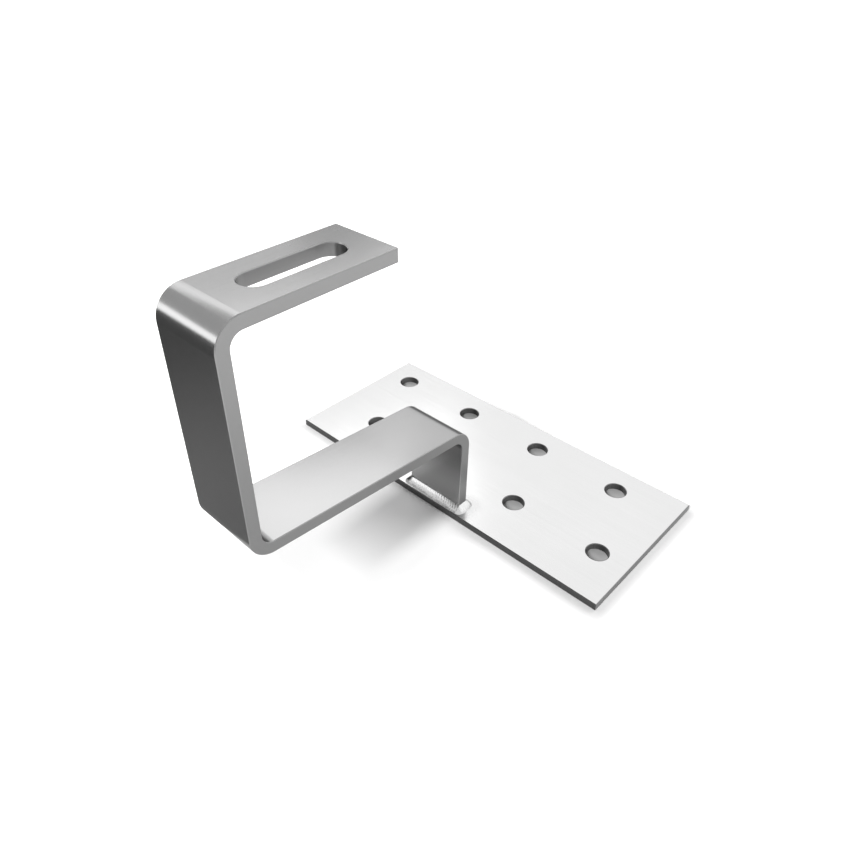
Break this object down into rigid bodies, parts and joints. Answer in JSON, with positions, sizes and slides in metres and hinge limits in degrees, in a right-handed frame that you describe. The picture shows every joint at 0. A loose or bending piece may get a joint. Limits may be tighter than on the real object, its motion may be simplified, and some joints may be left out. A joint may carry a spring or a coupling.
{
  "type": "solar roof hook",
  "caption": "Folded flat-bar roof hook with a slotted top flange, welded upright on a drilled base plate, that carries a solar rail above the tiles.",
  "frame": {"origin": "centre of the base plate's underside", "axes": "+X along the plate's long side, +Y up the roof, from the hook's web towards the plate, +Z out of the roof, from the plate towards the slotted flange"},
  "size_m": [0.18, 0.184, 0.1425],
  "materials": {
    "plate_steel": "cold-rolled stainless sheet, smooth and pale, sheared edges darker",
    "bar_steel": "satin stainless flat bar with a fine grain along its length",
    "weld_metal": "bright rippled weld bead, lightly pickled"
  },
  "bodies": {
    "root": {"base_plate": "plate_steel", "hook_arm": "bar_steel", "foot_weld": "weld_metal"}
  },
  "joints": []
}
